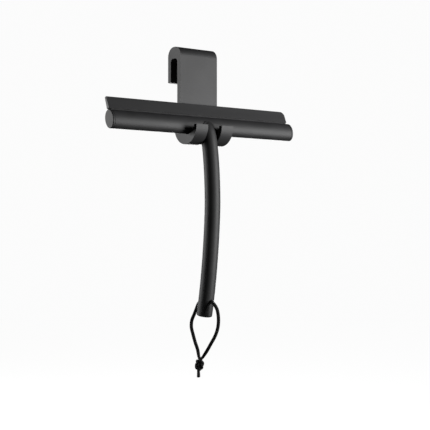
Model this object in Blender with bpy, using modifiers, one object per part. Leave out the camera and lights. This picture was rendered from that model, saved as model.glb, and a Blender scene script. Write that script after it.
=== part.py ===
"""Shower squeegee resting in a hanger that hooks over the top edge of a glass screen.

Frame: the origin is on the hanger's glass seat, in the middle of the gap for the glass.
+Z is up, X runs along the squeegee's bar, and -Y is the side that faces the user.
"""
import bpy
import bmesh
from math import acos, asin, cos, hypot, pi, radians, sin, sqrt
from mathutils import Matrix, Vector

MM = 0.001
GAP = 0.3 * MM                     # between neighbours that touch on the real object
REACH = 40.0 * MM                  # how far a cutter runs past what it cuts
OVERRUN = 2.0 * MM                 # the same, for a hollow that stays inside its piece

# Hanger
HANGER_WIDTH = 50.0 * MM
GLASS_GAP = 12.0 * MM
STRIP_THICKNESS = 6.0 * MM
LEG_THICKNESS = 5.0 * MM
LEG_BOTTOM_Z = -26.0 * MM
ARCH_THICKNESS = 12.7 * MM         # solid above the glass seat
ARCH_RADIUS = 10.5 * MM            # outer corners of the bend
SEAT_RADIUS = 4.0 * MM             # inner corners of the glass gap
HANGER_EDGE = 0.9 * MM

# Cradle, measured from the bar's axis
CRADLE_OUTER_RADIUS = 20.0 * MM
CRADLE_OUTER_BACK = 0.4 * MM
CRADLE_OUTER_DROP = 1.0 * MM
CRADLE_INNER_RADIUS = 12.4 * MM    # its wall runs on from the strip's front face
CRADLE_INNER_RISE = 2.0 * MM
LIP_TOP_DROP = 0.4 * MM
HANDLE_SLOT_WIDTH = 18.4 * MM
HANDLE_SLOT_BACK = 8.5 * MM        # where the slot ends, behind the bar's axis
HANDLE_SLOT_RISE = 4.0 * MM        # its top, above the bar's axis

# Hanger core: a bent steel strip inside the moulding
CORE_THICKNESS = 1.5 * MM
CORE_WIDTH = 42.0 * MM
CORE_FORK_WIDTH = 25.0 * MM        # between the two prongs
CORE_FORK_BACK = 3.3 * MM          # how far its fork reaches behind the handle's slot
CORE_LEG_Z = -21.0 * MM
CORE_BEND_RADIUS = 7.0 * MM
CORE_CRADLE_START = radians(22.0)  # where it follows the cradle, as angles about the
CORE_CRADLE_END = radians(-168.0)  # centre of the inner wall
MOULD_PIN_RADIUS = 1.5 * MM
MOULD_PIN_X = 15.0 * MM
MOULD_PIN_Z = -20.0 * MM

# Bar of the squeegee
BAR_LENGTH = 245.0 * MM
BAR_FORWARD = 21.2 * MM            # bar's axis in front of the glass seat
BAR_DROP = 73.9 * MM               # and below it
BAR_LEAN = radians(21.0)           # the blade's plane leans towards the glass
OVAL_U = 10.2 * MM                 # half-height of the oval, along the blade's plane
OVAL_V = 7.7 * MM                  # half-depth
COVER_WALL = 1.4 * MM
CAP_THICKNESS = 2.5 * MM
CAP_ROUNDING = 0.8 * MM
CAP_PLUG_LENGTH = 8.0 * MM
HOLLOW_U = -3.2 * MM
HOLLOW_RADIUS = 3.0 * MM

# Blade
BLADE_V = -1.7 * MM                # its middle plane, in front of the bar's axis
BLADE_TIP_U = 24.5 * MM
BLADE_BASE_HALF = 1.9 * MM
BLADE_TIP_HALF = 1.4 * MM
BLADE_CHAMFER = 0.5 * MM
BLADE_NECK_HALF = 0.8 * MM
BEAD_U = 4.4 * MM
BEAD_RADIUS = 1.9 * MM
BLADE_RIGHT_INSET = 3.0 * MM
BLADE_CORNER_RADIUS = 5.5 * MM
BLADE_LIP_U = 10.9 * MM            # the lip's base, which stands off the bar on its neck

# Handle: a bow in the X = 0 plane, as (forward, down) from the bar's axis
HANDLE_RADIUS = 8.5 * MM
HANDLE_TOP = (0.0 * MM, -2.5 * MM)
HANDLE_TOP_PULL = (12.5 * MM, 7.8 * MM)
HANDLE_BELLY = (15.0 * MM, 83.0 * MM)
HANDLE_BELLY_PULL = (21.0 * MM, 16.0 * MM)
HANDLE_END = (0.5 * MM, 205.6 * MM)
HANDLE_END_PULL = (11.5 * MM, -53.0 * MM)
HANDLE_TOP_TAPER = 0.78            # the top narrows to die into the bar
HANDLE_TAPER_LENGTH = 14.0 * MM
HANDLE_END_ROUNDING = 1.2 * MM
HANDLE_SKIN = 1.5 * MM
HANDLE_FLOOR = 2.0 * MM            # silicone under the tube's lower end
TUBE_WALL = 1.2 * MM
PLUG_LENGTH = 8.0 * MM
INSERT_LENGTH = 16.0 * MM

# Neck screw
SCREW_LEAN = radians(33.0)
SCREW_HEAD_RADIUS = 2.5 * MM
SCREW_HEAD_LENGTH = 2.0 * MM
SCREW_SHANK_RADIUS = 1.5 * MM
SCREW_LENGTH = 13.5 * MM
SOCKET_RADIUS = 1.0 * MM
SOCKET_DEPTH = 0.9 * MM
ACCESS_RADIUS = 3.0 * MM

# Lanyard
LANYARD_HOLE_DOWN = 190.0 * MM
BUSH_RADIUS = 2.9 * MM
BUSH_BORE = 2.25 * MM
BUSH_LENGTH = 11.4 * MM            # its ends stay inside the tube's wall
CORD_RADIUS = 1.9 * MM
STRAND_SPACE = 3.0 * MM            # how far the knot is cleared along each strand's end
# Routes, as (x, forward, down) in millimetres from the bar's axis: from the middle of
# the lanyard hole, out of its mouth, round and down to the top of the knot.
FRONT_ROUTE = (
    (0.0, 3.65, 190.0), (0.0, 8.5, 190.0), (0.12, 13.4, 190.58), (0.91, 17.26, 193.19),
    (2.6, 19.59, 198.27), (4.64, 19.03, 204.98), (6.2, 17.3, 212.2), (6.79, 14.92, 219.69),
    (6.36, 11.14, 227.46), (5.19, 5.87, 235.3), (4.02, 0.5, 243.18), (2.3, -4.6, 250.4),
)
BACK_ROUTE = (
    (0.0, 3.35, 190.0), (0.0, -1.5, 190.0), (0.08, -6.46, 190.49), (0.3, -10.63, 193.24),
    (-0.48, -12.89, 198.18), (-4.09, -12.4, 204.76), (-9.38, -9.39, 210.54),
    (-11.01, -8.14, 217.56), (-9.48, -7.42, 225.17), (-7.01, -6.64, 234.1),
    (-3.99, -6.24, 242.32), (-2.0, -6.6, 250.4),
)
KNOT_CENTRE = (-0.4, -7.1, 257.7)
KNOT_LOBES = (
    # (x, forward, down) from the knot's centre and the lobe's radius
    (-1.2, 0.7, -4.1, 2.9), (1.4, 1.8, -3.9, 2.8), (0.2, 0.2, 0.6, 4.5),
    (-0.8, -3.0, 2.9, 3.0), (-1.4, 3.4, -2.7, 2.8), (1.6, 1.9, 1.4, 3.2),
)
KNOT_TAILS = (
    ((-0.3, -1.9, 3.0), (-1.1, -0.6, 15.2)),
    ((-0.6, 0.9, 3.0), (-0.8, 1.1, 8.4)),
)


# ---------------------------------------------------------------- frames and outlines
AXIS = Vector((0.0, -BAR_FORWARD, -BAR_DROP))
ALONG_U = Vector((0.0, sin(BAR_LEAN), cos(BAR_LEAN)))
ALONG_V = Vector((0.0, cos(BAR_LEAN), -sin(BAR_LEAN)))


def bar_point(u, v):
    """The (y, z) of a point given in the bar's leaning section."""
    point = AXIS + ALONG_U * u + ALONG_V * v
    return (point.y, point.z)


def arc(centre, radius, start, end, steps):
    """Points of an arc in the YZ plane, angles from +Y towards +Z."""
    angles = [start + (end - start) * i / steps for i in range(steps + 1)]
    return [(centre[0] + radius * cos(a), centre[1] + radius * sin(a)) for a in angles]


def oval(growth, steps=40):
    """The bar's oval section, grown by a distance."""
    angles = [2 * pi * i / steps for i in range(steps)]
    return [bar_point((OVAL_U + growth) * cos(a), (OVAL_V + growth) * sin(a)) for a in angles]


def route_point(x, forward, down):
    return AXIS + Vector((x, -forward, -down)) * MM


# ---------------------------------------------------------------- scene helpers
def clear_scene():
    for old in list(bpy.data.objects):
        bpy.data.objects.remove(old, do_unlink=True)


def new_collection(name):
    collection = bpy.data.collections.new(name)
    bpy.context.scene.collection.children.link(collection)
    return collection


def new_material(name, colour, roughness, metallic=0.0):
    material = bpy.data.materials.new(name)
    material.use_nodes = True
    shader = material.node_tree.nodes["Principled BSDF"]
    shader.inputs["Base Color"].default_value = (*colour, 1.0)
    shader.inputs["Roughness"].default_value = roughness
    shader.inputs["Metallic"].default_value = metallic
    return material


def add_object(name, data, matrix=Matrix()):
    built = bpy.data.objects.new(name, data)
    built.matrix_world = matrix
    CUTTERS.objects.link(built)
    built.hide_render = True
    built.display_type = "WIRE"
    return built


def make_part(built, material):
    """Moves a finished object from the cutters to the squeegee's own collection."""
    CUTTERS.objects.unlink(built)
    PARTS.objects.link(built)
    built.hide_render = False
    built.display_type = "TEXTURED"
    built.data.materials.clear()
    built.data.materials.append(material)
    return built


def mesh_from_curve(curve_object):
    """Replaces a curve object by its mesh, with the caps welded to the wall."""
    bpy.context.view_layer.update()
    evaluated = curve_object.evaluated_get(bpy.context.evaluated_depsgraph_get())
    mesh = bpy.data.meshes.new_from_object(evaluated)
    work = bmesh.new()
    work.from_mesh(mesh)
    bmesh.ops.remove_doubles(work, verts=work.verts, dist=0.002 * MM)
    bmesh.ops.recalc_face_normals(work, faces=work.faces)
    work.to_mesh(mesh)
    work.free()
    name = curve_object.name
    matrix = curve_object.matrix_world.copy()
    bpy.data.objects.remove(curve_object, do_unlink=True)
    return add_object(name, mesh, matrix)


def extrude_outline(name, loops, low, high, matrix=None):
    """Extrudes flat closed loops of (a, b) from low to high along the third axis.

    The loops lie in the YZ plane and the extrusion runs along X, unless a matrix is given.
    """
    curve = bpy.data.curves.new(name, "CURVE")
    curve.dimensions = "2D"
    curve.fill_mode = "BOTH"
    curve.extrude = (high - low) / 2
    for loop in loops:
        spline = curve.splines.new("POLY")
        spline.points.add(len(loop) - 1)
        for point, (a, b) in zip(spline.points, loop):
            point.co = (a, b, 0.0, 1.0)
        spline.use_cyclic_u = True
    if matrix is None:
        matrix = Matrix(((0, 0, 1, 0), (1, 0, 0, 0), (0, 1, 0, 0), (0, 0, 0, 1)))
    middle = Matrix.Translation((0.0, 0.0, (high + low) / 2))
    return mesh_from_curve(add_object(name, curve, matrix @ middle))


def tube_along(name, points, radius, scales=None, resolution=4):
    """A round solid along a row of points; scales narrow it point by point."""
    curve = bpy.data.curves.new(name, "CURVE")
    curve.dimensions = "3D"
    curve.bevel_depth = radius
    curve.bevel_resolution = resolution
    curve.use_fill_caps = True
    spline = curve.splines.new("POLY")
    spline.points.add(len(points) - 1)
    for index, place in enumerate(points):
        spline.points[index].co = (*place, 1.0)
        spline.points[index].radius = scales[index] if scales else 1.0
    return mesh_from_curve(add_object(name, curve))


def rod(name, start, end, radius, sides=24):
    """A straight cylinder between two points."""
    length = (end - start).length
    mesh = bpy.data.meshes.new(name)
    work = bmesh.new()
    bmesh.ops.create_cone(
        work, cap_ends=True, segments=sides, radius1=radius, radius2=radius, depth=length)
    work.to_mesh(mesh)
    work.free()
    turn = (end - start).to_track_quat("Z", "Y").to_matrix().to_4x4()
    return add_object(name, mesh, Matrix.Translation((start + end) / 2) @ turn)


def ball(name, centre, radius):
    mesh = bpy.data.meshes.new(name)
    work = bmesh.new()
    bmesh.ops.create_uvsphere(work, u_segments=14, v_segments=9, radius=radius)
    work.to_mesh(mesh)
    work.free()
    return add_object(name, mesh, Matrix.Translation(centre))


def combine(target, other, operation):
    modifier = target.modifiers.new(other.name, "BOOLEAN")
    modifier.operation = operation
    modifier.solver = "EXACT"
    modifier.object = other
    return target


def round_edges(target, width, segments, angle=radians(35)):
    modifier = target.modifiers.new("rounded edges", "BEVEL")
    modifier.width = width
    modifier.segments = segments
    modifier.limit_method = "ANGLE"
    modifier.angle_limit = angle
    modifier.use_clamp_overlap = True
    return target


def shade_round(target):
    target.data.shade_smooth()
    target.data.set_sharp_from_angle(angle=radians(35))
    return target


# ---------------------------------------------------------------- hanger
def cradle_centres():
    strip_front = -GLASS_GAP / 2 - STRIP_THICKNESS
    outer = (-BAR_FORWARD + CRADLE_OUTER_BACK, -BAR_DROP - CRADLE_OUTER_DROP)
    inner = (strip_front - CRADLE_INNER_RADIUS, -BAR_DROP + CRADLE_INNER_RISE)
    return outer, inner


def hanger_outline():
    """The hanger's side view, from the back leg's foot over the top and round the cradle."""
    strip_back = -GLASS_GAP / 2
    strip_front = strip_back - STRIP_THICKNESS
    leg_inner = GLASS_GAP / 2
    leg_outer = leg_inner + LEG_THICKNESS
    bend = ARCH_THICKNESS - ARCH_RADIUS
    outer, inner = cradle_centres()
    lip_z = -BAR_DROP - LIP_TOP_DROP

    points = [(leg_inner, LEG_BOTTOM_Z), (leg_outer, LEG_BOTTOM_Z)]
    points += arc((leg_outer - ARCH_RADIUS, bend), ARCH_RADIUS, 0.0, pi / 2, 8)
    points += arc((strip_front + ARCH_RADIUS, bend), ARCH_RADIUS, pi / 2, pi, 8)

    # down the strip's front face and round the cradle's inner wall to the lip
    lip = asin((inner[1] - lip_z) / CRADLE_INNER_RADIUS) - pi
    points += arc(inner, CRADLE_INNER_RADIUS, 0.0, lip, 26)

    # back round the cradle's outer wall to the strip's back face
    start = pi - asin((lip_z - outer[1]) / CRADLE_OUTER_RADIUS)
    end = 2 * pi + acos((strip_back - outer[0]) / CRADLE_OUTER_RADIUS)
    points += arc(outer, CRADLE_OUTER_RADIUS, start, end, 30)

    # up the strip's back face and through the glass gap
    seat = (GLASS_GAP / 2 - SEAT_RADIUS, -SEAT_RADIUS)
    points += arc((-seat[0], seat[1]), SEAT_RADIUS, pi, pi / 2, 5)
    points += arc(seat, SEAT_RADIUS, pi / 2, 0.0, 5)
    return points


def core_path():
    """The middle line of the steel strip inside the hanger, from leg foot to lip."""
    outer, inner = cradle_centres()
    strip_y = -GLASS_GAP / 2 - STRIP_THICKNESS / 2
    leg_y = GLASS_GAP / 2 + LEG_THICKNESS / 2
    bend_z = ARCH_THICKNESS / 2 - CORE_BEND_RADIUS
    points = [(leg_y, CORE_LEG_Z)]
    points += arc((leg_y - CORE_BEND_RADIUS, bend_z), CORE_BEND_RADIUS, 0.0, pi / 2, 6)
    points += arc((strip_y + CORE_BEND_RADIUS, bend_z), CORE_BEND_RADIUS, pi / 2, pi, 6)
    steps = 16
    for i in range(steps + 1):
        a = CORE_CRADLE_START + (CORE_CRADLE_END - CORE_CRADLE_START) * i / steps
        wall = (outer[0] - inner[0]) * cos(a) + (outer[1] - inner[1]) * sin(a)
        depth = (CRADLE_INNER_RADIUS + CRADLE_OUTER_RADIUS + wall) / 2
        points.append((inner[0] + depth * cos(a), inner[1] + depth * sin(a)))
    return points


def strip_outline(path, half):
    """Both sides of a strip of even thickness along a path, with square ends."""
    left = []
    right = []
    for i, place in enumerate(path):
        before = path[max(i - 1, 0)]
        after = path[min(i + 1, len(path) - 1)]
        run = hypot(after[0] - before[0], after[1] - before[1])
        normal = (-(after[1] - before[1]) / run, (after[0] - before[0]) / run)
        left.append((place[0] + normal[0] * half, place[1] + normal[1] * half))
        right.append((place[0] - normal[0] * half, place[1] - normal[1] * half))
    return left + right[::-1]


def steel_strip(name, growth):
    """The forked steel strip, grown all round by a distance."""
    path = core_path()
    first = Vector(path[0]) - Vector(path[1])
    last = Vector(path[-1]) - Vector(path[-2])
    path[0] = tuple(Vector(path[0]) + first.normalized() * growth)
    path[-1] = tuple(Vector(path[-1]) + last.normalized() * growth)
    half_width = CORE_WIDTH / 2 + growth
    outline = strip_outline(path, CORE_THICKNESS / 2 + growth)
    strip = extrude_outline(name, [outline], -half_width, half_width)
    back = HANDLE_SLOT_BACK + CORE_FORK_BACK - growth
    fork = slot_cutter(name + "_fork", CORE_FORK_WIDTH - 2 * growth, back)
    return combine(strip, fork, "DIFFERENCE")


def slot_cutter(name, width, back):
    """A slot for the handle, seen from below: open to the front, round at the back."""
    half = width / 2
    back_y = -BAR_FORWARD + back
    outline = [(half, -REACH * 2), (half, back_y - half)]
    outline += arc((0.0, back_y - half), half, 0.0, pi, 14)[1:]
    outline += [(-half, -REACH * 2)]
    low = -BAR_DROP - REACH
    high = -BAR_DROP + HANDLE_SLOT_RISE
    return extrude_outline(name, [outline], low, high, Matrix())


def hanger():
    core = steel_strip("hanger_core", 0.0)
    make_part(core, STEEL)

    cover = extrude_outline("hanger_cover", [hanger_outline()], -HANGER_WIDTH / 2, HANGER_WIDTH / 2)
    slot = slot_cutter("handle_slot", HANDLE_SLOT_WIDTH, HANDLE_SLOT_BACK)
    combine(cover, slot, "DIFFERENCE")
    round_edges(cover, HANGER_EDGE, 2, radians(50))
    combine(cover, steel_strip("core_cavity", GAP), "DIFFERENCE")
    for x in (-MOULD_PIN_X, MOULD_PIN_X):
        inside = Vector((x, GLASS_GAP / 2 + LEG_THICKNESS / 2, MOULD_PIN_Z))
        outside = inside + Vector((0.0, LEG_THICKNESS, 0.0))
        pin = rod("mould_pin", inside, outside, MOULD_PIN_RADIUS, 12)
        combine(cover, pin, "DIFFERENCE")
    make_part(shade_round(cover), SILICONE)


# ---------------------------------------------------------------- bar and blade
def bar_ends():
    """Where the sleeve and the core profile stop, clear of the end caps."""
    half = BAR_LENGTH / 2 - CAP_THICKNESS - GAP
    return -half, half


def screw_axis():
    """The neck screw's seat in the bar's hollow and its direction."""
    y, z = bar_point(HOLLOW_U, 0.0)
    return Vector((0.0, y, z)), Vector((0.0, -sin(SCREW_LEAN), -cos(SCREW_LEAN)))


def head_core():
    low, high = bar_ends()
    growth = -COVER_WALL - GAP
    core = extrude_outline("head_core", [oval(growth), circle_in_bar(HOLLOW_U, 0.0, HOLLOW_RADIUS)],
                           low, high)
    channel = extrude_outline("bead_channel", [keyhole(GAP, REACH)], low - GAP, high + GAP)
    combine(core, channel, "DIFFERENCE")
    seat, down = screw_axis()
    hole = rod("screw_hole", seat, seat + down * SCREW_LENGTH, SCREW_SHANK_RADIUS + GAP, 16)
    access = rod("screw_access", seat, seat - down * SCREW_LENGTH, ACCESS_RADIUS, 16)
    combine(core, hole, "DIFFERENCE")
    combine(core, access, "DIFFERENCE")
    make_part(shade_round(core), ALUMINIUM)


def circle_in_bar(u, v, radius, steps=20):
    y, z = bar_point(u, v)
    return arc((y, z), radius, 0.0, 2 * pi * (steps - 1) / steps, steps - 1)


def keyhole(growth, top_u):
    """Round bead and straight neck of the blade's root, grown by a distance."""
    radius = BEAD_RADIUS + growth
    half = BLADE_NECK_HALF + growth
    opening = acos(sqrt(1 - (half / radius) ** 2))
    steps = 14
    points = [bar_point(top_u, BLADE_V - half)]
    for i in range(steps + 1):
        a = -opening - (2 * pi - 2 * opening) * i / steps
        points.append(bar_point(BEAD_U + radius * cos(a), BLADE_V + radius * sin(a)))
    points.append(bar_point(top_u, BLADE_V + half))
    return points


def head_cover(handle_bore):
    low, high = bar_ends()
    cover = extrude_outline("head_cover", [oval(0.0), oval(-COVER_WALL)], low, high)
    half = BLADE_NECK_HALF + GAP
    slit = [bar_point(BEAD_U, BLADE_V - half), bar_point(REACH, BLADE_V - half),
            bar_point(REACH, BLADE_V + half), bar_point(BEAD_U, BLADE_V + half)]
    combine(cover, extrude_outline("blade_slit", [slit], low - GAP, high + GAP), "DIFFERENCE")
    combine(cover, handle_bore, "DIFFERENCE")
    make_part(shade_round(cover), SILICONE)


def blade_outline():
    """Lip, neck and bead in one section."""
    shoulder = BLADE_TIP_U - BLADE_CHAMFER
    lip = [
        bar_point(BLADE_LIP_U, BLADE_V + BLADE_BASE_HALF),
        bar_point(shoulder, BLADE_V + BLADE_TIP_HALF),
        bar_point(BLADE_TIP_U, BLADE_V + BLADE_TIP_HALF - BLADE_CHAMFER),
        bar_point(BLADE_TIP_U, BLADE_V - BLADE_TIP_HALF + BLADE_CHAMFER),
        bar_point(shoulder, BLADE_V - BLADE_TIP_HALF),
        bar_point(BLADE_LIP_U, BLADE_V - BLADE_BASE_HALF),
    ]
    return keyhole(0.0, BLADE_LIP_U) + lip


def wiper_blade():
    left = -BAR_LENGTH / 2
    right = BAR_LENGTH / 2 - BLADE_RIGHT_INSET
    blade = extrude_outline("wiper_blade", [blade_outline()], left, right)

    # the root stops short of the left cap
    low, high = bar_ends()
    cap_space = extrude_outline("cap_space", [oval(GAP / 2)], left - GAP, low)
    combine(blade, cap_space, "DIFFERENCE")

    # the lip's right corner is rounded; the cutter is drawn in the blade's own plane
    r = BLADE_CORNER_RADIUS
    corner = [(right + r, BLADE_TIP_U + r), (right - r, BLADE_TIP_U + r)]
    corner += arc((right - r, BLADE_TIP_U - r), r, pi / 2, 0.0, 8)
    corner += [(right + r, BLADE_TIP_U - r)]
    columns = (Vector((1, 0, 0)), ALONG_U, -ALONG_V)
    plane = Matrix([[c[i] for c in columns] + [AXIS[i]] for i in range(3)] + [[0, 0, 0, 1]])
    reach = BEAD_RADIUS * 3
    combine(blade, extrude_outline("corner", [corner], -reach, reach, plane), "DIFFERENCE")
    make_part(shade_round(blade), SILICONE)


def end_cap(name, side):
    """An oval disc with a rounded rim, and a plug that fits the core's hollow."""
    outer = side * BAR_LENGTH / 2
    inner = outer - side * CAP_THICKNESS
    disc = extrude_outline(name, [oval(0.0)], min(outer, inner), max(outer, inner))
    work = bmesh.new()
    work.from_mesh(disc.data)
    # the rim is the sharp edge all round the disc's outer face
    rim = [
        edge for edge in work.edges
        if all(side * (disc.matrix_world @ v.co).x > side * outer - GAP for v in edge.verts)
        and edge.calc_face_angle(0.0) > radians(60)
    ]
    bmesh.ops.bevel(work, geom=rim, offset=CAP_ROUNDING, segments=3, profile=0.5, affect="EDGES")
    work.to_mesh(disc.data)
    work.free()
    y, z = bar_point(HOLLOW_U, 0.0)
    start = Vector((inner + side * CAP_THICKNESS / 2, y, z))
    end = Vector((inner - side * CAP_PLUG_LENGTH, y, z))
    plug = rod(name + "_plug", start, end, HOLLOW_RADIUS - GAP, 20)
    combine(disc, plug, "UNION")
    make_part(shade_round(disc), SILICONE)


# ---------------------------------------------------------------- handle
def bezier(p0, p1, p2, p3, steps):
    result = []
    for i in range(steps + 1):
        t = i / steps
        weights = ((1 - t) ** 3, 3 * t * (1 - t) ** 2, 3 * t * t * (1 - t), t ** 3)
        result.append(sum((w * p for w, p in zip(weights, (p0, p1, p2, p3))), Vector((0, 0, 0))))
    return result


def handle_line(steps=14):
    """The handle's middle line, from inside the bar to its lower end."""
    def place(forward, down):
        return AXIS + Vector((0.0, -forward, -down))

    top = place(*HANDLE_TOP)
    belly = place(*HANDLE_BELLY)
    end = place(*HANDLE_END)
    top_pull = top + Vector((0.0, -HANDLE_TOP_PULL[0], -HANDLE_TOP_PULL[1]))
    above = belly + Vector((0.0, 0.0, HANDLE_BELLY_PULL[0]))
    below = belly - Vector((0.0, 0.0, HANDLE_BELLY_PULL[1]))
    end_pull = end + Vector((0.0, -HANDLE_END_PULL[0], -HANDLE_END_PULL[1]))
    upper = bezier(top, top_pull, above, belly, steps)
    lower = bezier(belly, below, end_pull, end, steps)
    return upper + lower[1:]


def line_lengths(points):
    lengths = [0.0]
    for before, after in zip(points, points[1:]):
        lengths.append(lengths[-1] + (after - before).length)
    return lengths


def handle_piece(start, end):
    """The part of the handle's line between two distances along it."""
    points = handle_line()
    lengths = line_lengths(points)

    def at(distance):
        for i in range(1, len(points)):
            if lengths[i] >= distance or i == len(points) - 1:
                share = (distance - lengths[i - 1]) / (lengths[i] - lengths[i - 1])
                return points[i - 1].lerp(points[i], share)

    inside = [(s, p) for s, p in zip(lengths, points) if start + GAP < s < end - GAP]
    return [(start, at(start))] + inside + [(end, at(end))]


def handle_scale(distance):
    """How much the handle narrows near its top."""
    share = min(max(distance / HANDLE_TAPER_LENGTH, 0.0), 1.0)
    smooth = share * share * (3 - 2 * share)
    return HANDLE_TOP_TAPER + (1 - HANDLE_TOP_TAPER) * smooth


def handle_sweep(name, radius, start, end):
    pieces = handle_piece(start, end)
    scales = [handle_scale(s) for s, p in pieces]
    return tube_along(name, [p for s, p in pieces], radius, scales)


def lanyard_hole_centre():
    points = handle_line()
    level = AXIS.z - LANYARD_HOLE_DOWN
    for before, after in zip(points, points[1:]):
        if after.z <= level:
            share = (before.z - level) / (before.z - after.z)
            return before.lerp(after, share)


def handle():
    total = line_lengths(handle_line())[-1]
    floor = total - HANDLE_FLOOR
    skin_inner = HANDLE_RADIUS - HANDLE_SKIN
    tube_outer = skin_inner - GAP
    tube_inner = tube_outer - TUBE_WALL
    plug_radius = tube_inner - GAP
    across = Vector((0.0, REACH, 0.0))
    hole = lanyard_hole_centre()

    bore = handle_sweep("handle_bore", skin_inner, -OVERRUN, floor)
    bar_space = extrude_outline("bar_space", [oval(GAP)], -REACH, REACH)
    core_space = extrude_outline("core_space", [oval(-COVER_WALL)], -REACH, REACH)

    cover = handle_sweep("handle_cover", HANDLE_RADIUS, 0.0, total)
    round_edges(cover, HANDLE_END_ROUNDING, 3, radians(60))
    combine(cover, bar_space, "DIFFERENCE")
    combine(cover, bore, "DIFFERENCE")
    cord_hole = rod("cord_hole", hole - across, hole + across, BUSH_BORE, 16)
    combine(cover, cord_hole, "DIFFERENCE")
    make_part(shade_round(cover), SILICONE)

    tube = handle_sweep("handle_core_tube", tube_outer, 0.0, floor - GAP)
    tube_hollow = handle_sweep("tube_hollow", tube_inner, -OVERRUN, floor + OVERRUN)
    combine(tube, tube_hollow, "DIFFERENCE")
    combine(tube, core_space, "DIFFERENCE")
    bush_hole = rod("bush_hole", hole - across, hole + across, BUSH_RADIUS + GAP, 20)
    combine(tube, bush_hole, "DIFFERENCE")
    make_part(shade_round(tube), STEEL)

    plug = handle_sweep("handle_end_plug", plug_radius, floor - GAP - PLUG_LENGTH, floor - GAP)
    make_part(shade_round(plug), NYLON)

    insert = handle_sweep("neck_insert", plug_radius, 0.0, INSERT_LENGTH + HANDLE_RADIUS)
    combine(insert, core_space, "DIFFERENCE")
    seat, down = screw_axis()
    thread = rod("thread_hole", seat, seat + down * REACH, SCREW_SHANK_RADIUS + GAP, 16)
    combine(insert, thread, "DIFFERENCE")
    make_part(shade_round(insert), STEEL)

    half = Vector((0.0, BUSH_LENGTH / 2, 0.0))
    bush = rod("lanyard_bush", hole - half, hole + half, BUSH_RADIUS, 20)
    combine(bush, rod("bush_bore", hole - across, hole + across, BUSH_BORE, 16), "DIFFERENCE")
    make_part(shade_round(bush), NYLON)
    return bore


def neck_screw():
    seat, down = screw_axis()
    head_top = seat - down * SCREW_HEAD_LENGTH / 2
    head_bottom = seat + down * SCREW_HEAD_LENGTH / 2
    screw = rod("neck_screw", head_top, head_bottom, SCREW_HEAD_RADIUS, 20)
    shank = rod("screw_shank", seat, seat + down * SCREW_LENGTH, SCREW_SHANK_RADIUS, 16)
    combine(screw, shank, "UNION")
    floor = head_top + down * SOCKET_DEPTH
    socket = rod("screw_socket", head_top - down * OVERRUN, floor, SOCKET_RADIUS, 6)
    combine(screw, socket, "DIFFERENCE")
    make_part(shade_round(screw), STEEL)


# ---------------------------------------------------------------- lanyard
def smooth_route(route, steps=3):
    """A smooth curve (Catmull-Rom) through a route's own points."""
    points = [route_point(*place) for place in route]
    points = [points[0] * 2 - points[1]] + points + [points[-1] * 2 - points[-2]]
    result = []
    for a, b, c, d in zip(points, points[1:], points[2:], points[3:]):
        for i in range(steps):
            t = i / steps
            result.append(0.5 * (2 * b + (c - a) * t + (2 * a - 5 * b + 4 * c - d) * t * t
                                 + (3 * b - a - 3 * c + d) * t * t * t))
    result.append(points[-2])
    return result


def even_points(points, spacing):
    """The same line with points at an even spacing."""
    lengths = line_lengths(points)
    count = round(lengths[-1] / spacing)
    result = []
    index = 1
    for i in range(count + 1):
        distance = lengths[-1] * i / count
        while lengths[index] < distance and index < len(points) - 1:
            index += 1
        share = (distance - lengths[index - 1]) / (lengths[index] - lengths[index - 1])
        result.append(points[index - 1].lerp(points[index], share))
    return result


def lanyard():
    for name, route in (("cord_front", FRONT_ROUTE), ("cord_back", BACK_ROUTE)):
        points = even_points(smooth_route(route, 8), 2 * CORD_RADIUS)
        make_part(tube_along(name, points, CORD_RADIUS, resolution=2), CORD)

    knot = None
    for i, (x, forward, down, radius) in enumerate(KNOT_LOBES):
        centre = route_point(KNOT_CENTRE[0] + x, KNOT_CENTRE[1] + forward, KNOT_CENTRE[2] + down)
        lobe = ball("lanyard_knot" if knot is None else "knot_lobe", centre, radius * MM)
        knot = lobe if knot is None else combine(knot, lobe, "UNION")
    for start, end in KNOT_TAILS:
        ends = [route_point(*(k + p for k, p in zip(KNOT_CENTRE, place))) for place in (start, end)]
        combine(knot, rod("knot_tail", ends[0], ends[1], CORD_RADIUS, 12), "UNION")
    for route in (FRONT_ROUTE, BACK_ROUTE):
        before = route_point(*route[-2])
        last = route_point(*route[-1])
        along = (last - before).normalized()
        start = last - along * STRAND_SPACE
        clearance = rod("strand_space", start, last + along * GAP, CORD_RADIUS + GAP, 12)
        combine(knot, clearance, "DIFFERENCE")
    make_part(shade_round(knot), CORD)


# ---------------------------------------------------------------- build
clear_scene()
PARTS = new_collection("window_squeegee")
CUTTERS = new_collection("cutters")
SILICONE = new_material("black_silicone", (0.028, 0.028, 0.029), 0.6)
STEEL = new_material("stainless_steel", (0.60, 0.60, 0.58), 0.35, 1.0)
ALUMINIUM = new_material("aluminium", (0.72, 0.73, 0.75), 0.4, 1.0)
NYLON = new_material("black_nylon", (0.03, 0.03, 0.03), 0.5)
CORD = new_material("black_cord", (0.008, 0.008, 0.008), 0.85)

hanger()
head_core()
head_cover(handle())
wiper_blade()
end_cap("left_end_cap", -1)
end_cap("right_end_cap", 1)
neck_screw()
lanyard()
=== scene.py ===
"""Shower squeegee in its over-glass hanger: the finished surfaces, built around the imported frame.

The frame gives every size that it holds. Its origin is the hanger's glass seat, +Z is up, X runs
along the squeegee's bar and -Y faces the user.
"""
from math import acos, asin, atan2, cos, pi, radians, sin, sqrt

import bmesh
import bpy
from mathutils import Matrix, Vector


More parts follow.
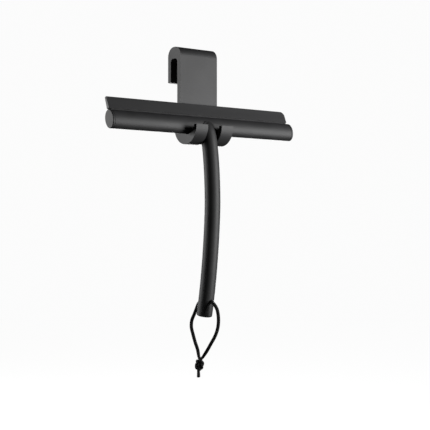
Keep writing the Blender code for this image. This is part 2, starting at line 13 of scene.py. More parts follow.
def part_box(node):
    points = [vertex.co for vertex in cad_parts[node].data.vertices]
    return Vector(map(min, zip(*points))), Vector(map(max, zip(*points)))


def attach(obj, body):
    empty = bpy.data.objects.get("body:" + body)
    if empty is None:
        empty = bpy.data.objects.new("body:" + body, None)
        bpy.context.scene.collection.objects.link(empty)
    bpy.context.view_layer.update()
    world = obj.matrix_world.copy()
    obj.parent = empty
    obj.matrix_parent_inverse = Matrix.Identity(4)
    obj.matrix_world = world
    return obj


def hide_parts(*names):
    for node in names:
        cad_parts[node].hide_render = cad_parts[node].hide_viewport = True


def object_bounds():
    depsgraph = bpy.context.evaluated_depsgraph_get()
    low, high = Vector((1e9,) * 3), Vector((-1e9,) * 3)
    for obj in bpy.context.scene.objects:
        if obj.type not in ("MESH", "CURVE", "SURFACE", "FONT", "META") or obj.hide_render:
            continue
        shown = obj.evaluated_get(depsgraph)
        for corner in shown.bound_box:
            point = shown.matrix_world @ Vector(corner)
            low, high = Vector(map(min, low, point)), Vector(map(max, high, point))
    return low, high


bl_info = {
    "name": "Window squeegee",
    "version": (1, 0, 0),
    "blender": (4, 5, 0),
    "location": "3D View > Sidebar > Squeegee",
    "description": "Models the finished surfaces of a window squeegee and its hanger",
    "category": "Object",
}

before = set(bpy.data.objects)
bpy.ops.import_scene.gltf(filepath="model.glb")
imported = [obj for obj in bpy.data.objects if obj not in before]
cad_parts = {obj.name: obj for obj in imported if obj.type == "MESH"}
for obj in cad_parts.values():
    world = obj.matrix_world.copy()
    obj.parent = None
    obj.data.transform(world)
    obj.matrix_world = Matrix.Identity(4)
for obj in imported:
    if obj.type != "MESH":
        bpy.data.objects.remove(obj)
CAD_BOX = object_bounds()

MM = 0.001

# ---------------------------------------------------------------- sizes read from the frame
HANGER_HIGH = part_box("hanger_cover")[1]
BAR_LOW, BAR_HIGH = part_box("head_cover")
LEFT_CAP_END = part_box("left_end_cap")[0].x
RIGHT_CAP_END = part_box("right_end_cap")[1].x
BLADE_LOW, BLADE_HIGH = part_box("wiper_blade")
HANDLE_LOW, HANDLE_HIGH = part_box("handle_cover")
BAR_AXIS = Vector((0.0, (BAR_LOW.y + BAR_HIGH.y) / 2, (BAR_LOW.z + BAR_HIGH.z) / 2))
HANDLE_RADIUS = (HANDLE_HIGH.x - HANDLE_LOW.x) / 2

# ---------------------------------------------------------------- the same sizes as in the frame
# Hanger, in its side view
STRIP_THICKNESS = 6.0 * MM
LEG_LOW = -26.0 * MM
TOP_BEND = 10.5 * MM
SEAT_ROUNDING = 4.0 * MM
CRADLE_INNER_RADIUS = 12.4 * MM
CRADLE_INNER_RISE = 2.0 * MM           # from the bar's axis up to the arc's centre
CRADLE_OUTER_RADIUS = 20.0 * MM
CRADLE_OUTER_SHIFT = Vector((0.0, 0.4 * MM, -1.0 * MM))
CRADLE_LIP_DROP = 0.4 * MM
HANDLE_SLOT_HALF = 9.2 * MM
HANDLE_SLOT_BACK = 8.5 * MM
HANGER_EDGE = 1.0 * MM
MOULD_PIN_RADIUS = 1.5 * MM
MOULD_PIN_X = 15 * MM
MOULD_PIN_Z = -20 * MM

# Bar and blade: U runs along the blade and V across it, towards the front
COVER_WALL = 1.4 * MM
COVER_EDGE = 0.15 * MM
SLIT_U = (4 * MM, 20 * MM)
SLIT_V = (0.6 * MM, 2.8 * MM)
CAP_FACE = 2.5 * MM
CAP_EDGE = 0.8 * MM
CAP_PLUG_INSET = 2.6 * MM
CAP_PLUG_LENGTH = 6 * MM
LIP_ROOT_U = 10.9 * MM
LIP_TIP_U = 24.5 * MM
LIP_MIDDLE_V = 1.7 * MM
LIP_HALF_ROOT = 1.9 * MM
LIP_HALF_TIP = 1.35 * MM
LIP_CORNER = 5.5 * MM
LIP_TIP_EDGE = 0.4 * MM
LIP_EDGE = 0.12 * MM
NECK_START_U = 8.2 * MM
NECK_HALF = 0.8 * MM
NECK_END_GAP = 0.5 * MM

# Handle's middle line as two curves, in (forward, down) millimetres from the bar's axis
HANDLE_CURVES = (
    ((0, -2.5), (12.5, 5.3), (15, 62), (15, 83)),
    ((15, 83), (15, 99), (12, 152.6), (0.5, 205.6)),
)
HANDLE_END_ROUNDING = 1.2 * MM
HANDLE_TOP_WIDTH = 0.78                # of the width below
HANDLE_TAPER_LENGTH = 14 * MM
HANDLE_DOME_LENGTH = 6.5 * MM
FLARE_RADIUS = 2.6 * MM
FLARE_HALF_WIDTH = 12 * MM
LANYARD_HOLE_DOWN = 190 * MM
LANYARD_HOLE_RADIUS = 2.25 * MM

# Lanyard
CORD_STEP = 0.22 * MM
CORD_END_LENGTH = 6 * MM               # where a cord narrows or widens
BRAID_PITCH = 7.0                      # in radii
STRAND_SQUEEZE = 0.87                  # at the knot
KNOT_SQUEEZE = 0.86                    # how much the knot's own cord is squeezed
TAIL_SWELL = 1.2

# Lanyard routes, as (x, forward, down) in millimetres from the bar's axis.
FRONT_ROUTE = (
    (0.0, 3.65, 190.0), (0.0, 8.5, 190.0), (0.12, 13.4, 190.58), (0.91, 17.26, 193.19),
    (2.6, 19.59, 198.27), (4.64, 19.03, 204.98), (6.2, 17.3, 212.2), (6.79, 14.92, 219.69),
    (6.36, 11.14, 227.46), (5.19, 5.87, 235.3), (4.02, 0.5, 243.18), (2.3, -4.6, 250.4),
)
BACK_ROUTE = (
    (0.0, 3.35, 190.0), (0.0, -1.5, 190.0), (0.08, -6.46, 190.49), (0.3, -10.63, 193.24),
    (-0.48, -12.89, 198.18), (-4.09, -12.4, 204.76), (-9.38, -9.39, 210.54),
    (-11.01, -8.14, 217.56), (-9.48, -7.42, 225.17), (-7.01, -6.64, 234.1),
    (-3.99, -6.24, 242.32), (-2.0, -6.6, 250.4),
)
KNOT_CENTRE = (-0.4, -7.1, 257.7)

# The two strands through the overhand knot and out as its tails, in millimetres from its centre.
KNOT_STRANDS = ((
    (2.7, 2.5, -7.3), (2.0, 1.9, -6.3), (1.2, 1.2, -5.2), (0.9, 0.5, -4.0), (0.5, -0.2, -2.9),
    (0.1, -1.0, -1.7), (-0.7, -1.5, -0.7), (-1.6, -2.3, 0.0), (-1.9, -3.2, 0.9), (-1.8, -3.8, 2.2),
    (-1.5, -4.2, 3.5), (-1.0, -4.6, 4.7), (0.1, -4.5, 5.6), (1.2, -3.8, 6.0), (1.9, -2.7, 5.8),
    (2.0, -1.4, 5.5), (2.0, -0.1, 5.2), (1.9, 1.2, 4.6), (1.5, 1.9, 3.6), (0.9, 2.3, 2.4),
    (0.2, 2.5, 1.1), (-0.5, 2.4, 0.0), (-1.2, 1.5, -0.9), (-1.7, 0.6, -1.7), (-2.1, -0.6, -2.4),
    (-1.9, -1.8, -2.8), (-1.2, -3.0, -2.5), (-0.6, -3.7, -1.6), (0.0, -4.0, -0.3),
    (0.3, -4.2, 1.1), (0.6, -3.9, 2.5), (0.5, -3.2, 3.7), (0.0, -2.4, 4.8), (-0.3, -2.0, 6.3),
    (-0.4, -1.7, 7.9), (-0.6, -1.4, 9.4), (-0.8, -1.1, 10.9), (-0.9, -0.9, 12.5),
    (-1.1, -0.7, 14.1), (-1.1, -0.6, 15.1),
), (
    (-1.4, 0.5, -7.3), (-1.2, 0.7, -6.4), (-1.4, 1.2, -5.6), (-1.9, 2.4, -5.3), (-2.2, 3.6, -4.9),
    (-2.2, 4.6, -4.0), (-1.5, 4.8, -2.8), (-0.5, 4.4, -2.0), (0.7, 3.8, -1.5), (1.6, 3.2, -0.9),
    (2.3, 2.3, 0.1), (2.7, 1.4, 1.1), (2.7, 0.5, 2.1), (1.6, -0.2, 2.7), (0.5, 0.0, 3.2),
    (-0.6, 0.6, 2.9), (-0.9, 0.5, 1.6), (0.1, 0.3, 0.7), (1.2, -0.2, 0.2), (1.4, -1.4, 0.6),
    (0.6, -1.9, 1.3), (-0.6, -1.7, 2.1), (-1.5, -1.4, 3.0), (-1.9, -0.9, 4.3), (-1.5, -0.1, 5.5),
    (-1.1, 0.8, 6.5), (-0.9, 0.9, 7.1), (-0.8, 1.1, 7.9),
))


# ---------------------------------------------------------------- settings shown to the user
class SqueegeeSizes(bpy.types.PropertyGroup):
    lean: bpy.props.FloatProperty(
        name="Lean", description="How far the blade leans towards the glass",
        default=radians(21), subtype="ANGLE")
    oval_u: bpy.props.FloatProperty(
        name="Bar half-height",
        description="Half of the bar's oval section along the blade's plane",
        default=10.2 * MM, subtype="DISTANCE")
    oval_v: bpy.props.FloatProperty(
        name="Bar half-depth",
        description="Half of the bar's oval section across the blade's plane",
        default=7.7 * MM, subtype="DISTANCE")
    glass_gap: bpy.props.FloatProperty(
        name="Glass gap", description="Gap in the hanger for the glass",
        default=12 * MM, subtype="DISTANCE")
    cord_diameter: bpy.props.FloatProperty(
        name="Cord diameter", description="Thickness of the lanyard's cord",
        default=3.8 * MM, subtype="DISTANCE")


class SqueegeeColours(bpy.types.PropertyGroup):
    silicone: bpy.props.FloatVectorProperty(
        name="Silicone", description="Colour of the moulded silicone",
        default=(0.030, 0.030, 0.031), subtype="COLOR", min=0, max=1)
    cord: bpy.props.FloatVectorProperty(
        name="Cord", description="Colour of the braided cord",
        default=(0.0075, 0.0075, 0.0080), subtype="COLOR", min=0, max=1)
    floor: bpy.props.FloatVectorProperty(
        name="Floor", description="Colour of the studio floor",
        default=(0.93, 0.93, 0.93), subtype="COLOR", min=0, max=1)


# ---------------------------------------------------------------- shader building
class Value:
    """A shader socket. Arithmetic on it adds Math nodes."""

    def __init__(self, finish, socket):
        self.finish = finish
        self.socket = socket

    def math(self, operation, *others):
        made = self.finish.node("ShaderNodeMath", {"operation": operation}, (self,) + others)
        return made.value()

    def __add__(self, other):
        return self.math("ADD", other)

    __radd__ = __add__

    def __mul__(self, other):
        return self.math("MULTIPLY", other)

    def __sub__(self, other):
        return self.math("SUBTRACT", other)

    def __rsub__(self, other):
        made = self.finish.node("ShaderNodeMath", {"operation": "SUBTRACT"}, (other, self))
        return made.value()


class Node:
    """One shader node, with its outputs as values."""

    def __init__(self, finish, node):
        self.finish = finish
        self.node = node

    def value(self, name=0):
        return Value(self.finish, self.node.outputs[name])


class Finish:
    """A material or world being built node by node."""

    def __init__(self, tree):
        self.tree = tree
        self.tree.nodes.clear()

    def node(self, kind, settings=(), inputs=()):
        """Adds a node: its settings first, then its sockets by name or by order."""
        node = self.tree.nodes.new(kind)
        for name, value in dict(settings).items():
            setattr(node, name, value)
        pairs = inputs.items() if isinstance(inputs, dict) else enumerate(inputs)
        for name, value in pairs:
            socket = node.inputs[name]
            if isinstance(value, Value):
                self.tree.links.new(value.socket, socket)
            else:
                socket.default_value = value
        return Node(self, node)

    def noise(self, vector, scale, detail=2.0, roughness=0.5):
        inputs = {"Vector": vector, "Scale": scale, "Detail": detail, "Roughness": roughness}
        return self.node("ShaderNodeTexNoise", {}, inputs).value("Fac")

    def ramp(self, value, low, high, to_low=0.0, to_high=1.0):
        """Maps a value from one range to another, clamped."""
        settings = {"clamp": True, "interpolation_type": "SMOOTHSTEP"}
        inputs = (value, low, high, to_low, to_high)
        return self.node("ShaderNodeMapRange", settings, inputs).value()

    def blend(self, factor, first, second):
        """Mixes two colours. A Mix node's colour sockets are numbers 6 and 7, and output 2."""
        inputs = {0: factor, 6: first, 7: second}
        return self.node("ShaderNodeMix", {"data_type": "RGBA"}, inputs).value(2)

    def place(self):
        return self.node("ShaderNodeTexCoord").value("Object")

    def stretched(self, scale):
        """Object coordinates, drawn out along the axes."""
        inputs = {"Vector": self.place(), "Scale": scale}
        return self.node("ShaderNodeMapping", {}, inputs).value()

    def bump(self, height, strength, distance):
        inputs = {"Strength": strength, "Distance": distance, "Height": height}
        return self.node("ShaderNodeBump", {}, inputs).value()

    def surface(self, inputs):
        shader = self.node("ShaderNodeBsdfPrincipled", {}, inputs)
        self.node("ShaderNodeOutputMaterial", {}, {"Surface": shader.value()})


def new_finish(name):
    material = bpy.data.materials.new(name)
    material.use_nodes = True
    return material, Finish(material.node_tree)


def shade(colour, factor):
    return (colour[0] * factor, colour[1] * factor, colour[2] * factor, 1.0)


def silicone_finish(name, colour, roughness, streak=(1.0, 1.0, 1.0)):
    """Matt moulded silicone: a fine grain, faint mottling and a trace of dust."""
    material, finish = new_finish(name)
    place = finish.place()
    drawn = finish.stretched(streak)
    mottle = finish.noise(drawn, 45.0, 3.0)
    cloud = finish.noise(place, 14.0, 2.0)
    grain = finish.noise(drawn, 2600.0, 3.0, 0.6)
    pores = finish.noise(place, 900.0, 1.0)
    dust = finish.ramp(finish.noise(place, 620.0, 4.0, 0.7), 0.66, 0.80)
    base = finish.blend(finish.ramp(mottle, 0.3, 0.7), shade(colour, 0.86), shade(colour, 1.14))
    dusty = finish.blend(dust * 0.35, base, shade(colour, 2.4))
    height = grain * 0.6 + pores * 0.4
    finish.surface({
        "Base Color": dusty,
        "Roughness": roughness + (mottle - 0.5) * 0.10 + (cloud - 0.5) * 0.08 + dust * 0.10,
        "Normal": finish.bump(height, 0.35, 0.06 * MM),
    })
    return material


def metal_finish(name, colour, roughness, streak):
    """Drawn or rolled metal: long fine scratches along the drawing direction."""
    material, finish = new_finish(name)
    drawn = finish.stretched(streak)
    place = finish.place()
    lines = finish.noise(drawn, 900.0, 4.0, 0.65)
    stain = finish.noise(place, 60.0, 2.0)
    base = finish.blend(finish.ramp(stain, 0.35, 0.7), shade(colour, 0.85), shade(colour, 1.05))
    finish.surface({
        "Base Color": base,
        "Metallic": 1.0,
        "Roughness": roughness + (lines - 0.5) * 0.25,
        "Normal": finish.bump(lines, 0.25, 0.03 * MM),
    })
    return material


def nylon_finish(name, colour):
    """Moulded nylon: a slight orange peel and soft mottling."""
    material, finish = new_finish(name)
    place = finish.place()
    peel = finish.noise(place, 700.0, 2.0)
    mottle = finish.noise(place, 90.0, 3.0)
    base = finish.blend(mottle, shade(colour, 0.8), shade(colour, 1.25))
    finish.surface({
        "Base Color": base,
        "Roughness": 0.42 + (mottle - 0.5) * 0.2,
        "Normal": finish.bump(peel, 0.3, 0.05 * MM),
    })
    return material


def cord_finish(name, colour):
    """Braided polyester: duller grooves with painted shade in them, painted highlight on the strand
    tops and on their fine filaments, and a little wear.
    """
    material, finish = new_finish(name)
    place = finish.place()
    settings = {"attribute_type": "GEOMETRY", "attribute_name": "braid"}
    strand = finish.node("ShaderNodeAttribute", settings).value("Fac")
    fibres = finish.noise(place, 5200.0, 3.0, 0.7)
    wear = finish.noise(place, 260.0, 3.0)
    top = finish.ramp(strand, 0.25, 0.95)
    # painted shade in the grooves between the strands and painted highlight on the strand tops
    painted_groove_shade_top_light = finish.blend(top, shade(colour, 0.25), shade(colour, 1.35))
    # painted highlight: the fine fibres on the strand tops made much lighter
    painted_fibre_highlight = finish.ramp(fibres, 0.5, 0.75) * top * 0.55
    base = finish.blend(painted_fibre_highlight, painted_groove_shade_top_light, shade(colour, 3.0))
    height = strand * 0.8 + fibres * 0.2
    finish.surface({
        "Base Color": base,
        "Roughness": 0.70 + (wear - 0.5) * 0.2 + (1 - top) * 0.2,
        "Normal": finish.bump(height, 0.5, 0.2 * MM),
        "Specular IOR Level": 0.35,
    })
    return material


# ---------------------------------------------------------------- modelling helpers
def start_clean():
    """Leaves edit mode and deselects everything."""
    if bpy.context.object and bpy.context.object.mode != "OBJECT":
        bpy.ops.object.mode_set(mode="OBJECT")
    bpy.ops.object.select_all(action="DESELECT")


def focus(piece):
    start_clean()
    piece.select_set(True)
    bpy.context.view_layer.objects.active = piece


def added(name):
    """Names the primitive that was just added."""
    piece = bpy.context.object
    piece.name = name
    piece.data.name = name
    return piece


def set_in_place(piece, matrix=Matrix()):
    """Puts a piece where the matrix says and moves that place into its mesh."""
    piece.matrix_basis = matrix @ piece.matrix_basis
    focus(piece)
    bpy.ops.object.transform_apply(location=True, rotation=True, scale=True)
    return piece


def select_where(piece, kind, test):
    """Selects the faces, edges or verts that pass a test, in edit mode."""
    focus(piece)
    bpy.ops.object.mode_set(mode="EDIT")
    modes = {"verts": "VERT", "edges": "EDGE", "faces": "FACE"}
    bpy.ops.mesh.select_mode(type=modes[kind])
    bpy.ops.mesh.select_all(action="DESELECT")
    work = bmesh.from_edit_mesh(piece.data)
    for element in getattr(work, kind):
        if test(element):
            element.select_set(True)
    bmesh.update_edit_mesh(piece.data)


def finish_modifiers(piece):
    focus(piece)
    for modifier in list(piece.modifiers):
        bpy.ops.object.modifier_apply(modifier=modifier.name)


def cut(piece, cutter, operation="DIFFERENCE"):
    modifier = piece.modifiers.new("cut", "BOOLEAN")
    modifier.solver = "EXACT"
    modifier.operation = operation
    modifier.object = cutter
    finish_modifiers(piece)
    bpy.data.objects.remove(cutter, do_unlink=True)


def soften(piece, width, segments=3, angle=radians(40)):
    """Rounds every edge sharper than an angle."""
    modifier = piece.modifiers.new("rounded edges", "BEVEL")
    modifier.width = width
    modifier.segments = segments
    modifier.limit_method = "ANGLE"
    modifier.angle_limit = angle
    modifier.harden_normals = False
    finish_modifiers(piece)


def smooth(piece, angle=radians(30), flat_faces=True):
    """Shades a piece round, and keeps its large flat faces flat."""
    focus(piece)
    bpy.ops.object.shade_smooth_by_angle(angle=angle)
    if flat_faces:
        modifier = piece.modifiers.new("flat faces", "WEIGHTED_NORMAL")
        modifier.keep_sharp = True
        finish_modifiers(piece)


def finished(piece, body, slot, material, *nodes):
    """Gives a piece its finish, hangs it on its body and hides the frame's parts that it stands
    for.
    """
    piece.data.materials.clear()
    piece.data.materials.append(material)
    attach(piece, body)
    if nodes:
        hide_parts(*nodes)
    return piece


def settings():
    return bpy.context.scene.squeegee_sizes, bpy.context.scene.squeegee_colours


def bar_frame():
    """Matrix of the bar's section: local X along the blade, local Z along the bar."""
    lean = settings()[0].lean
    along = Vector((0.0, sin(lean), cos(lean)))
    across = Vector((0.0, -cos(lean), sin(lean)))
    length = Vector((1.0, 0.0, 0.0))
    rows = [[along[i], across[i], length[i], BAR_AXIS[i]] for i in range(3)]
    return Matrix(rows + [[0.0, 0.0, 0.0, 1.0]])


def route_point(x, forward, down):
    """The place at so many millimetres from the bar's axis."""
    return BAR_AXIS + Vector((x, -forward, -down)) * MM


def oval_rod(name, low, high, growth=0.0, sides=96):
    """A solid oval rod along the bar, grown by a distance."""
    sizes = settings()[0]
    start_clean()
    bpy.ops.mesh.primitive_cylinder_add(
        vertices=sides, radius=1.0, depth=high - low, location=(0, 0, (low + high) / 2))
    rod = added(name)
    rod.scale = (sizes.oval_u + growth, sizes.oval_v + growth, 1.0)
    return set_in_place(rod, bar_frame())


def round_rod(name, start, end, radius, sides=48):
    start_clean()
    bpy.ops.mesh.primitive_cylinder_add(vertices=sides, radius=radius, depth=(end - start).length)
    rod = added(name)
    turn = (end - start).to_track_quat("Z", "Y").to_matrix().to_4x4()
    return set_in_place(rod, Matrix.Translation((start + end) / 2) @ turn)


def block(name, low, high, matrix=Matrix()):
    start_clean()
    bpy.ops.mesh.primitive_cube_add(size=1.0, location=(Vector(low) + Vector(high)) / 2)
    cube = added(name)
    cube.scale = Vector(high) - Vector(low)
    return set_in_place(cube, matrix)


# ---------------------------------------------------------------- hanger
def arc(centre, radius, start, end, steps):
    """Points on an arc round a centre (y, z) in the side view."""
    angles = [start + (end - start) * i / steps for i in range(steps + 1)]
    return [Vector((0.0, centre[0] + radius * cos(a), centre[1] + radius * sin(a))) for a in angles]


def leg_side(y, top, steps):
    """Points up one face of the back leg, short of its top."""
    return [Vector((0.0, y, LEG_LOW + (top - LEG_LOW) * i / steps)) for i in range(steps)]


def hanger_sides():
    """The two long sides of the hanger's side view, point against point.

    The glass side runs from the back leg through the gap, down the strip's back and round under
    the cradle. The outer side runs over the bend, down the strip's front and round inside it.
    """
    gap = settings()[0].glass_gap
    strip_back = -gap / 2
    strip_front = strip_back - STRIP_THICKNESS
    bend_z = HANGER_HIGH.z - TOP_BEND
    inner = (strip_front - CRADLE_INNER_RADIUS, BAR_AXIS.z + CRADLE_INNER_RISE)
    outer = (BAR_AXIS + CRADLE_OUTER_SHIFT)[1:]
    lip_z = BAR_AXIS.z - CRADLE_LIP_DROP
    leg_steps, turn_steps, strip_steps, cradle_steps = 4, 14, 6, 56

    shoulder = gap / 2 - SEAT_ROUNDING
    glass = leg_side(gap / 2, -SEAT_ROUNDING, leg_steps)
    user = leg_side(HANGER_HIGH.y, bend_z, leg_steps)
    glass += arc((shoulder, -SEAT_ROUNDING), SEAT_ROUNDING, 0.0, pi / 2, turn_steps)
    user += arc((HANGER_HIGH.y - TOP_BEND, bend_z), TOP_BEND, 0.0, pi / 2, turn_steps)
    glass += arc((-shoulder, -SEAT_ROUNDING), SEAT_ROUNDING, pi / 2, pi, turn_steps)
    user += arc((strip_front + TOP_BEND, bend_z), TOP_BEND, pi / 2, pi, turn_steps)

    start = acos((strip_back - outer[0]) / CRADLE_OUTER_RADIUS)
    corner_z = outer[1] + CRADLE_OUTER_RADIUS * sin(start)
    for i in range(1, strip_steps):
        share = i / strip_steps
        back_z = -SEAT_ROUNDING + (corner_z + SEAT_ROUNDING) * share
        glass.append(Vector((0.0, strip_back, back_z)))
        user.append(Vector((0.0, strip_front, bend_z + (inner[1] - bend_z) * share)))
    outer_end = -asin((lip_z - outer[1]) / CRADLE_OUTER_RADIUS) - pi
    inner_end = asin((inner[1] - lip_z) / CRADLE_INNER_RADIUS) - pi
    glass += arc(outer, CRADLE_OUTER_RADIUS, start, outer_end, cradle_steps)
    user += arc(inner, CRADLE_INNER_RADIUS, 0.0, inner_end, cradle_steps)
    return glass, user


def trace_ribbon(name, first_side, second_side):
    """Draws a flat ribbon by extruding one edge along two rows of points."""
    start_clean()
    bpy.ops.mesh.primitive_plane_add(size=MM)
    ribbon = added(name)
    bpy.ops.object.mode_set(mode="EDIT")
    bpy.ops.mesh.select_mode(type="VERT")
    work = bmesh.from_edit_mesh(ribbon.data)
    corners = list(work.verts)
    for corner, place in zip(corners[:2], (first_side[0], second_side[0])):
        corner.co = place
    bmesh.update_edit_mesh(ribbon.data)
    bpy.ops.mesh.select_all(action="DESELECT")
    work = bmesh.from_edit_mesh(ribbon.data)
    work.verts.ensure_lookup_table()
    for corner in work.verts[2:]:
        corner.select_set(True)
    bmesh.update_edit_mesh(ribbon.data)
    bpy.ops.mesh.delete(type="VERT")
    bpy.ops.mesh.select_all(action="SELECT")
    for before_a, before_b, a, b in zip(first_side, second_side, first_side[1:], second_side[1:]):
        bpy.ops.mesh.extrude_region_move(TRANSFORM_OT_translate={"value": a - before_a})
        work = bmesh.from_edit_mesh(ribbon.data)
        moved = [vert for vert in work.verts if vert.select]
        drift = (b - before_b) - (a - before_a)
        far = min(moved, key=lambda vert: (vert.co - (before_b + a - before_a)).length)
        far.co += drift
        bmesh.update_edit_mesh(ribbon.data)
    bpy.ops.object.mode_set(mode="OBJECT")
    return ribbon


def widen(piece, half_width):
    """Turns a flat outline in the YZ plane into a solid that is even to both sides."""
    focus(piece)
    bpy.ops.object.mode_set(mode="EDIT")
    bpy.ops.mesh.select_all(action="SELECT")
    bpy.ops.transform.translate(value=(-half_width, 0, 0))
    bpy.ops.mesh.extrude_region_move(TRANSFORM_OT_translate={"value": (2 * half_width, 0, 0)})
    bpy.ops.mesh.select_all(action="SELECT")
    bpy.ops.mesh.normals_make_consistent(inside=False)
    bpy.ops.object.mode_set(mode="OBJECT")


def handle_slot_cutter():
    """The handle's slot seen from below: open to the front and round at the back."""
    half = HANDLE_SLOT_HALF
    back = BAR_AXIS.y + HANDLE_SLOT_BACK - half
    low = Vector((-half, back - 60 * MM, BAR_AXIS.z - 40 * MM))
    high = Vector((half, back, BAR_AXIS.z + 4 * MM))
    slot = block("slot", low, high)
    end = round_rod("slot_end", Vector((0, back, low.z)), Vector((0, back, high.z)), half, 64)
    cut(slot, end, "UNION")
    return slot


class SQUEEGEE_OT_hanger(bpy.types.Operator):
    """Model the hanger's silicone moulding"""
    bl_idname = "squeegee.hanger"
    bl_label = "Hanger"

    def execute(self, context):
        colours = settings()[1]
        hanger = trace_ribbon("hanger_moulding", *hanger_sides())
        widen(hanger, HANGER_HIGH.x)
        cut(hanger, handle_slot_cutter())
        soften(hanger, HANGER_EDGE, 3, radians(50))
        self.mould_pins(hanger)
        smooth(hanger)
        material = silicone_finish("hanger_silicone", colours.silicone, 0.57)
        finished(hanger, "hanger", "silicone", material, "hanger_cover")
        return {"FINISHED"}

    def mould_pins(self, hanger):
        """The two small round holes in the back leg that the mould's pins leave."""
        gap_side = settings()[0].glass_gap / 2
        for x in (-MOULD_PIN_X, MOULD_PIN_X):
            inside = Vector((x, (gap_side + HANGER_HIGH.y) / 2, MOULD_PIN_Z))
            outside = Vector((x, HANGER_HIGH.y + MM, MOULD_PIN_Z))
            cut(hanger, round_rod("mould_pin", inside, outside, MOULD_PIN_RADIUS, 24))


# ---------------------------------------------------------------- bar
class SQUEEGEE_OT_bar(bpy.types.Operator):
    """Model the bar's silicone sleeve and its two end caps"""
    bl_idname = "squeegee.bar"
    bl_label = "Bar"

    def execute(self, context):
        colours = settings()[1]
        material = silicone_finish("bar_silicone", colours.silicone, 0.57)
        self.sleeve(material)
        self.cap("left_cap", -1, LEFT_CAP_END, material, "left_end_cap")
        self.cap("right_cap", 1, RIGHT_CAP_END, material, "right_end_cap")
        return {"FINISHED"}

    def sleeve(self, material):
        sleeve = oval_rod("bar_sleeve", BAR_LOW.x, BAR_HIGH.x, 0.0, 128)
        bore = oval_rod("bar_bore", BAR_LOW.x - 5 * MM, BAR_HIGH.x + 5 * MM, -COVER_WALL, 128)
        cut(sleeve, bore)
        low = (SLIT_U[0], SLIT_V[0], BAR_LOW.x - MM)
        high = (SLIT_U[1], SLIT_V[1], BAR_HIGH.x + MM)
        cut(sleeve, block("blade_slit", low, high, bar_frame()))
        soften(sleeve, COVER_EDGE, 1, radians(50))
        smooth(sleeve)
        finished(sleeve, "squeegee", "silicone", material, "head_cover")

    def cap(self, name, side, outer, material, node):
        """An oval face with a rounded rim, and a plug on its inner side that goes into the bar."""
        inner = outer - side * CAP_FACE
        cap = oval_rod(name, min(outer, inner), max(outer, inner), 0.0, 128)
        select_where(cap, "edges", lambda e: all(abs(v.co.x - outer) < 0.01 * MM for v in e.verts))
        bpy.ops.mesh.bevel(offset=CAP_EDGE, segments=5, profile=0.5, affect="EDGES")
        select_where(cap, "faces", lambda f: f.normal.x * side < -0.99)
        bpy.ops.mesh.inset(thickness=CAP_PLUG_INSET)
        inwards = (-side * CAP_PLUG_LENGTH, 0, 0)
        bpy.ops.mesh.extrude_region_move(TRANSFORM_OT_translate={"value": inwards})
        bpy.ops.object.mode_set(mode="OBJECT")
        smooth(cap)
        finished(cap, "squeegee", "silicone", material, node)


# ---------------------------------------------------------------- blade
class SQUEEGEE_OT_blade(bpy.types.Operator):
    """Model the silicone blade"""
    bl_idname = "squeegee.blade"
    bl_label = "Blade"

    def execute(self, context):
        colours = settings()[1]
        low = (LIP_ROOT_U, LIP_MIDDLE_V - LIP_HALF_ROOT, BLADE_LOW.x)
        high = (LIP_TIP_U, LIP_MIDDLE_V + LIP_HALF_ROOT, BLADE_HIGH.x)
        blade = block("blade", low, high, bar_frame())
        along, across = (Vector(row[:3]) for row in bar_frame().transposed()[:2])
        tip = bar_frame() @ Vector((LIP_TIP_U, LIP_MIDDLE_V, 0.0))

        def near_tip(vert):
            return (vert.co - tip).dot(along) > -0.1 * MM

        # the tip is drawn in to its own thickness, both sides alike
        for side in (across, -across):
            select_where(blade, "verts", lambda v: near_tip(v) and (v.co - tip).dot(side) > 0)
            bpy.ops.transform.translate(value=side * (LIP_HALF_TIP - LIP_HALF_ROOT))
        select_where(blade, "edges", lambda e: all(near_tip(v) and v.co.x > 0 for v in e.verts))
        bpy.ops.mesh.bevel(offset=LIP_CORNER, segments=16, profile=0.5, affect="EDGES")
        bpy.ops.object.mode_set(mode="OBJECT")
        select_where(blade, "edges", lambda e: all(near_tip(v) for v in e.verts))
        bpy.ops.mesh.bevel(offset=LIP_TIP_EDGE, segments=2, profile=0.5, affect="EDGES")
        bpy.ops.object.mode_set(mode="OBJECT")
        low = (NECK_START_U, LIP_MIDDLE_V - NECK_HALF, BAR_LOW.x + NECK_END_GAP)
        high = (LIP_ROOT_U + MM, LIP_MIDDLE_V + NECK_HALF, BLADE_HIGH.x - NECK_END_GAP)
        cut(blade, block("neck", low, high, bar_frame()), "UNION")
        soften(blade, LIP_EDGE, 1, radians(50))
        smooth(blade)
        material = silicone_finish("blade_silicone", colours.silicone, 0.50, (0.12, 1.0, 1.0))
        finished(blade, "squeegee", "silicone", material, "wiper_blade")
        return {"FINISHED"}


# ---------------------------------------------------------------- handle
def bezier(p0, p1, p2, p3, steps):
    """Points on a cubic curve through its first and last control points."""
    result = []
    for i in range(steps + 1):
        t = i / steps
        weights = ((1 - t) ** 3, 3 * t * (1 - t) ** 2, 3 * t * t * (1 - t), t ** 3)
        result.append(sum((w * p for w, p in zip(weights, (p0, p1, p2, p3))), Vector((0, 0, 0))))
    return result


def handle_line(steps):
    """The handle's bowed middle line, from inside the bar to its lower end."""
    upper, lower = (bezier(*(route_point(0.0, *place) for place in curve), steps)
                    for curve in HANDLE_CURVES)
    return upper + lower[1:]


def hole_centre():
    """Where the cord's hole crosses the handle's middle line."""
    level = BAR_AXIS.z - LANYARD_HOLE_DOWN
    line = handle_line(60)
    for before, after in zip(line, line[1:]):
        if after.z <= level:
            return before.lerp(after, (before.z - level) / (before.z - after.z))


